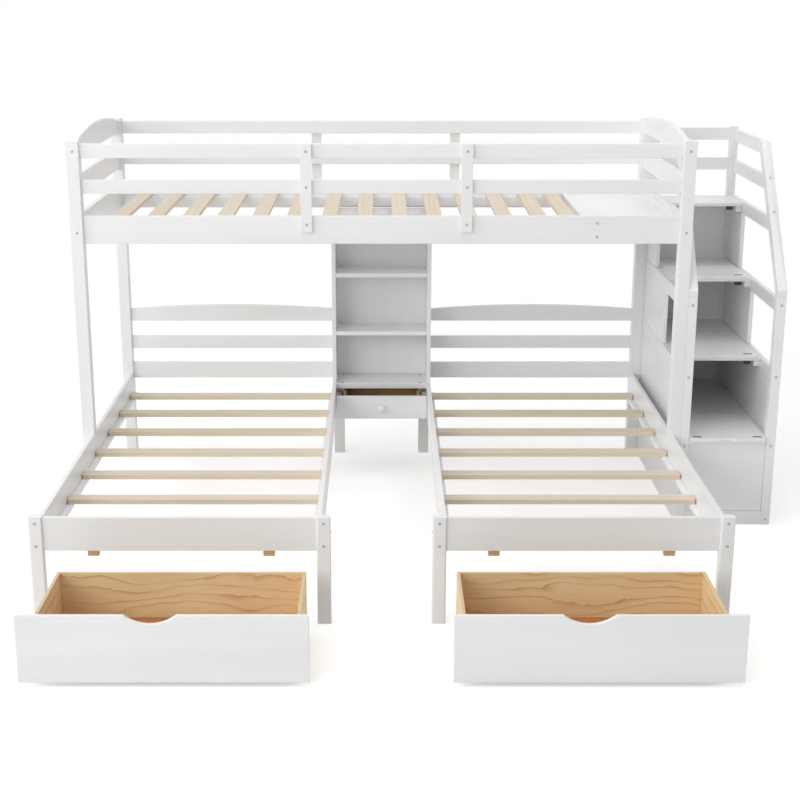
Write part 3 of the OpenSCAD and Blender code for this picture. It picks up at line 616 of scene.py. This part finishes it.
# The points of a node, in groups that lie within reach of their first point
def nearGroups(name, reach):
    mesh = nodes[name].data
    flat = np.empty(len(mesh.vertices) * 3)
    mesh.vertices.foreach_get("co", flat)
    rest = flat.reshape(-1, 3)
    groups = []
    while len(rest):
        near = np.linalg.norm(rest - rest[0], axis=1) < reach
        groups.append(rest[near])
        rest = rest[~near]
    return groups


# Bolt heads

boltSet = {
    "reach": 0.0135,  # points nearer than this belong to one head
    "sides": 24,
    "aisle": -0.2,  # the middle of the aisle, which the bolts on the inner posts face
    "socket": 0.4,  # share of the radius within which the rows are drawn out to a hexagon
    "profile": [(1.0, 0.0), (0.97, 0.6), (0.86, 0.92), (0.47, 1.0), (0.4, 0.92), (0.4, 0.2),
                (0.15, 0.2)],
}


# A head: its profile in shares of radius and height, turned round; a hexagon's radius at angle a
# is cos 30 / cos b, b being a's distance from the middle of its side
def boltHead(radius, height):
    rows = np.array(boltSet["profile"])
    count = boltSet["sides"]
    side = math.pi / 3
    angle = np.arange(count) * 2 * math.pi / count
    hexagon = math.cos(side / 2) / np.cos((angle + side / 2) % side - side / 2)
    inside = rows[:, :1] <= boltSet["socket"]
    points, faces, _ = lathe(rows * [radius, height], count, np.where(inside, hexagon, 1.0))
    inSocket = np.arange(len(faces)) >= count * int((~inside).sum())
    inSocket[-2] = False  # the underside
    return points, faces, inSocket.astype(int).tolist()


# One head for each group of the solid heads' points: its axis is the direction in which they
# spread least, turned outwards, and its radius and height are what they measure about and along it
def makeBoltHeads():
    steelParts, capParts = [], []
    for group in nearGroups("bolts", boltSet["reach"]):
        centre = (group.min(0) + group.max(0)) / 2
        axis = np.linalg.svd(group - group.mean(0))[2][2]
        lying = abs(axis[2]) > nearlyAlong
        outwards = [0, 0, 1] if lying else [0, -1, 0]
        if abs(axis[0]) > nearlyAlong:
            outwards = [boltSet["aisle"] - centre[0], 0, 0]
        axis = axis * np.sign(np.dot(axis, outwards))
        offset = (group - centre) @ axis
        radius = np.linalg.norm((group - centre) - np.outer(offset, axis), axis=1).max()
        head = boltHead(radius, np.ptp(offset))
        part = placed(head, centre + axis * offset.min(), axesTo(axis))
        (capParts if lying else steelParts).append(part)
    newPiece("boltHeads", steelParts, [steelFinish, socketFinish], "frame", ["bolts"])
    newPiece("nightstandBolts", capParts, [darkSteelFinish, socketFinish], "frame",
             ["bolts"])


# Hinges, catches and strikes of the three stair doors

barrelSet = {"ease": 0.18, "end": 0.4, "sides": 20}  # both in shares of the radius
screwSet = {  # rows in shares of radius and height, from the rim over the top into the recess
    "profile": [(1.0, 0.0), (0.92, 0.7), (0.5, 1.0), (0.42, 0.35), (0.1, 0.35)],
    "sides": 16,
}
hingeSet = {
    "out": 0.110,  # from the middle of the door
    "width": 0.060,
    "knuckle": 0.0023,  # radius, as the pin's
    "pin": 0.001,
    "gap": 0.0004,
    "leafLength": 0.018,
    "leaf": 0.0012,
    "leafRound": 0.0025,
    "edge": 0.003,
    "low": 0.0025,  # from the pin down to the tread
    "foot": 0.001,  # the leaf's feet are narrower than the knuckles by this at each end
    "footLap": 0.002,
    "screw": (0.0026, 0.0007),  # radius and height, as for the other screws
    "screwPlaces": (-0.021, 0.0, 0.021),
    "screwShare": 0.52,  # of the leaf's depth
}
catchSet = {
    "out": 0.1255,
    "width": 0.037,
    "case": 0.8,  # share of the width
    "depth": 0.012,
    "hold": 0.005,  # the shut door's top edge stands this far above the catch's underside
    "door": 0.012,  # the door's thickness
    "doorLength": 0.262,
    "rise": 0.2955,  # from one tread to the next
    "tread": 0.015,  # a tread's thickness
    "ear": 0.003,  # the ear plate's thickness
    "earDepth": (0.2, 0.8),  # shares of the depth
    "pole": 0.0012,
    "poleHeight": 1.5,  # in poles
    "poleHalf": 0.44,  # share of the case
    "poleDepth": 0.2,
    "polePlaces": (0.16, 0.62),
    "screw": (0.0014, 0.0008),
    "bevel": 0.0005,
}
strikeSet = {
    "out": 0.1255,
    "fromEdge": 0.030,
    "width": 0.037,
    "depth": 0.012,
    "thick": 0.0007,
    "round": 0.003,
    "screw": (0.002, 0.0006),
    "screwOut": 0.012,
}


# A barrel along X: a cylinder whose two ends are eased at 45 degrees
def barrel(length, radius):
    half, ease, end = length / 2, radius * barrelSet["ease"], radius * barrelSet["end"]
    profile = [(end, -half), (radius - ease, -half), (radius, -half + ease),
               (radius, half - ease), (radius - ease, half), (end, half)]
    return placed(lathe(profile, barrelSet["sides"]), (0, 0, 0), axesTo([1, 0, 0]))


# A screw head that stands a little proud, with a round recess: its profile turned about Z
def screwHead(radius, height):
    return lathe(np.multiply(screwSet["profile"], [radius, height]), screwSet["sides"])


# A hinge about X at the origin: two outer knuckles, the pin through them, and a leaf behind on the
# tread with a foot to each knuckle and three screws; the middle knuckle is the door's own
def hinge():
    size = hingeSet
    knuckle = (size["width"] - 2 * size["gap"]) / 3
    side = (size["width"] - knuckle) / 2
    parts = [placed(barrel(knuckle, size["knuckle"]), (sign * side, 0, 0)) for sign in (-1, 1)]
    parts.append(barrel(size["width"] - knuckle, size["pin"]))
    depth = size["leafLength"] - size["edge"]
    outline = roundedRectangle(size["width"] - 2 * size["foot"], depth, size["leafRound"])
    parts.append(placed(plate(outline, size["leaf"]), (0, size["edge"] + depth / 2, -size["low"])))
    half = knuckle / 2 - size["foot"]
    back, top = size["edge"] + size["footLap"], size["leaf"] - size["low"]
    for middle in (-side, side):
        parts.append(board((middle - half, 0, -size["low"]), (middle + half, back, top)))
    for place in size["screwPlaces"]:
        shift = (place, size["edge"] + depth * size["screwShare"], top)
        parts.append(placed(screwHead(*size["screw"]), shift))
    return parts


# A catch: a case, an ear plate through its top that stands out at both ends, two pole strips along
# its underside, and a screw in each ear
def catch(height):
    size = catchSet
    width, depth, pole = size["width"], size["depth"], size["pole"]
    case = width * size["case"]
    earLow = height - size["ear"]
    earFront, earBack = (depth * share for share in size["earDepth"])
    parts = [board((-case / 2, 0, pole), (case / 2, depth, height)),
             board((-width / 2, earFront, earLow), (width / 2, earBack, height))]
    poleOut = case * size["poleHalf"]
    for place in size["polePlaces"]:
        front, back = depth * place, depth * (place + size["poleDepth"])
        parts.append(board((-poleOut, front, 0), (poleOut, back, pole * size["poleHeight"]), 1))
    for sign in (-1, 1):
        shift = (sign * (width + case) / 4, depth / 2, earLow)
        points, faces, _ = placed(screwHead(*size["screw"]), shift, axesTo([0, 0, -1]))
        parts.append((points, faces, [1] * len(faces)))
    return parts


# A strike plate with a screw at each side, its underside at the origin
def strike():
    size = strikeSet
    outline = roundedRectangle(size["width"], size["depth"], size["round"])
    screws = [placed(screwHead(*size["screw"]), (sign * size["screwOut"], 0, size["thick"]))
              for sign in (-1, 1)]
    return [plate(outline, size["thick"])] + screws


# Each door has two hinges at its joint's pivot, two catches behind its shut top edge, as high as
# is left up to the tread above, and two strikes on its inner face, which is its top as it lies
def makeDoorHardware():
    hinges, catches = [], []
    catchLow = catchSet["doorLength"] + hingeSet["edge"] - catchSet["hold"]
    height = catchSet["rise"] - catchSet["tread"] - hingeSet["low"] - catchLow
    back = catchSet["door"] - hingeSet["low"] + hingeSet["gap"]
    for row in frame["joints"]:
        if not row["name"].endswith("door_hinge"):
            continue
        door = row["child"]
        pivot = np.array(row["pos_m"])
        low, high = (np.array(corner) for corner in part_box(door))
        strikes = []
        for sign in (-1, 1):
            hingeShift = pivot + [sign * hingeSet["out"], 0, 0]
            hinges += [placed(part, hingeShift) for part in hinge()]
            catchShift = pivot + [sign * catchSet["out"], back, catchLow]
            catches += [placed(part, catchShift) for part in catch(height)]
            at = (pivot[0] + sign * strikeSet["out"], low[1] + strikeSet["fromEdge"], high[2])
            strikes += [placed(part, at) for part in strike()]
        newPiece(door.replace("_door", "") + "DoorStrikes", strikes, [darkSteelFinish], door)
    newPiece("hinges", hinges, [steelFinish], "frame", ["door_hardware"])
    newPiece("catches", catches, [blackFinish, darkSteelFinish], "frame",
             ["door_hardware"], bevel=catchSet["bevel"])


# Under-bed drawer boxes, their casters and wheels

boxSet = {
    "wall": 0.012,
    "bottom": 0.060,  # height above the room's floor
    "floorLift": 0.006,
    "floor": 0.012,
    "seam": 0.0002,
    "bevel": 0.0012,
    "grainShift": 7.0,  # moves each board's grain by this times its front, so that boards differ
}
wheelSet = {
    "radius": 0.022,
    "half": 0.009,  # half its width
    "sides": 60,
    "spokes": 5,
    "spokeFrom": 0.35,  # cosine of five times the angle, above which there is a spoke
    "spokeHalf": 0.82,  # share of the half width
    "web": (0.33, 0.77),  # from and to, in shares of the radius
    "hub": 0.30,  # share of the radius
    "profile": [(0.14, -0.98), (0.30, -0.98), (0.36, -0.55), (0.74, -0.55), (0.80, -0.92),
                (0.93, -1.0), (1.0, -0.75), (1.0, -0.15), (0.975, -0.06), (0.975, 0.06),
                (1.0, 0.15), (1.0, 0.75), (0.93, 1.0), (0.80, 0.92), (0.74, 0.55), (0.36, 0.55),
                (0.30, 0.98), (0.14, 0.98)],  # shares of radius and half width
}
forkSet = {
    "play": 0.0004,  # at each side of the wheel
    "plate": 0.002,
    "long": 0.036,
    "axle": 0.003,
    "footLong": 0.008,
    "footDeep": 0.006,
    "footSteps": 13,
    "bevel": 0.0004,
}


# Plywood boards, with axes 0, 1 and 2 for X, Y and Z: the UV map of a broad face runs along its
# grain axis, then across; a narrow face has its length and then its thickness, and the edge finish
def makePlyBoards(name, rows, body, node):
    faceSlot, edgeSlot, shadedFloorSlot = range(3)
    parts, marks = [], []
    for low, high, grain in rows:
        points, faces, _ = board(low, high)
        thin = int(np.argmin(np.subtract(high, low)))
        across = 3 - grain - thin
        # lying boards (the floor) take the darker floor plywood, whose darkness is partly painted
        # shade
        broadSlot = shadedFloorSlot if thin == 2 else faceSlot
        slots = []
        for index, face in enumerate(faces):
            corner = points[face]
            axis = index // 2
            slots.append(broadSlot if axis == thin else edgeSlot)
            if axis == thin:
                marks.append(corner[:, [grain, across]] + low[1] * boxSet["grainShift"])
            else:
                other = across if axis == grain else grain
                marks.append(np.stack([corner[:, other], corner[:, thin] - low[thin]], -1))
        parts.append((points, faces, slots))
    finishes = [plyFinish, plyEdgeFinish, plyFloorShadeFinish]
    piece = newPiece(name, parts, finishes, body, [node], boxSet["bevel"],
                     smooth=False)
    layer = piece.data.uv_layers.new(name="grain")
    layer.data.foreach_set("uv", np.concatenate(marks).ravel())


# A fork about its axle: a bridge, two cheeks whose lower edge is half an ellipse, and the axle
def fork(top):
    plates, long = forkSet["plate"], forkSet["long"]
    inner = wheelSet["half"] + forkSet["play"]
    outer = inner + plates
    low = top - plates
    angle = np.linspace(math.pi, 2 * math.pi, forkSet["footSteps"])
    foot = np.stack([np.cos(angle) * forkSet["footLong"], np.sin(angle) * forkSet["footDeep"]], -1)
    cheek = plate(np.concatenate([[[-long / 2, low]], foot, [[long / 2, low]]]), plates)
    return [board((-outer, -long / 2, low), (outer, long / 2, top)),
            placed(cheek, (-outer, 0, 0), raisedAlongX), placed(cheek, (inner, 0, 0), raisedAlongX),
            barrel(2 * outer, forkSet["axle"])]


# A wheel about X: a tyre with a groove, a web set back between five spokes, and a hub; the web
# stands out to a spoke where cos(spokes a) is over its limit
def wheel():
    size = wheelSet
    rows = np.array(size["profile"])
    points, faces, _ = lathe(rows * [size["radius"], size["half"]], size["sides"], closed=True)
    angle = np.arctan2(points[:, 1], points[:, 0])
    share = np.linalg.norm(points[:, :2], axis=1) / size["radius"]
    spoke = np.cos(size["spokes"] * angle) > size["spokeFrom"]
    web = (share > size["web"][0]) & (share < size["web"][1])
    out = np.sign(points[:, 2]) * size["half"] * size["spokeHalf"]
    points[:, 2] = np.where(web & spoke, out, points[:, 2])
    inHub = rows[:, 0] <= size["hub"]
    slots = np.repeat(inHub & np.roll(inHub, -1), size["sides"]).astype(int).tolist()
    return placed((points, faces, slots), (0, 0, 0), axesTo([1, 0, 0]))


# Each drawer: two sides, a back and a floor inside the solid box's corners, and a wheel in its
# fork at each end of the two rows of casters
def makeDrawers():
    wall, seam, bottom = boxSet["wall"], boxSet["seam"], boxSet["bottom"]
    floor = bottom + boxSet["floorLift"]
    for side in ("left", "right"):
        node = side + "_drawer_box"
        body = side + "_drawer"
        (x0, y0, _), (x1, y1, top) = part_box(node)
        left, right = x0 + wall + seam, x1 - wall - seam
        rows = [  # low corner, high corner, grain axis
            ((x0, y0, bottom), (x0 + wall, y1, top), 1),
            ((x1 - wall, y0, bottom), (x1, y1, top), 1),
            ((left, y1 - wall, bottom), (right, y1, top), 0),
            ((left, y0, floor), (right, y1 - wall - seam, floor + boxSet["floor"]), 0),
        ]
        makePlyBoards(side + "DrawerBoards", rows, body, node)
        forks = []
        for end in ("front", "rear"):
            wheelNode = f"{side}_{end}_wheels"
            wheelLow, wheelHigh = (np.array(corner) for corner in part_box(wheelNode))
            _, y, z = (wheelLow + wheelHigh) / 2
            wheels = []
            for x in (wheelLow[0] + wheelSet["half"], wheelHigh[0] - wheelSet["half"]):
                forks += [placed(part, (x, y, z)) for part in fork(floor - seam - z)]
                wheels.append(placed(wheel(), (x, y, z)))
            newPiece(f"{side}{end.title()}Wheels", wheels, [blackFinish, hubFinish], wheelNode,
                     [wheelNode])
        newPiece(side + "Forks", forks, [steelFinish], body, [node],
                 bevel=forkSet["bevel"])


# The stairs' left back post, beside the bunk's post and notched over the back panel

stairPostSet = {"wide": 0.036, "deep": 0.038, "top": 1.580, "gap": 0.0002, "round": 0.0022}


# Its side outline has a foot behind the panel and its full depth above it, raised by its width
def makeStairPost():
    low, high = (np.array(corner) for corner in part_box("stair_back_panel"))
    gap = stairPostSet["gap"]
    front, back = low[1], low[1] + stairPostSet["deep"]
    notch, shelf, top = high[1] + gap, high[2] + gap, stairPostSet["top"]
    outline = [(notch, 0), (back, 0), (back, top), (front, top), (front, shelf), (notch, shelf)]
    post = placed(plate(outline, stairPostSet["wide"]), (low[0] + gap, 0, 0), raisedAlongX)
    newPiece("stairLeftBackPost", [post], [paints["Z"]], "frame",
             bevel=stairPostSet["round"], smooth=False)


makeBoltHeads()
makeDoorHardware()
makeDrawers()
makeStairPost()
print("bolt heads, door hardware, drawer boxes, casters and stair post made")
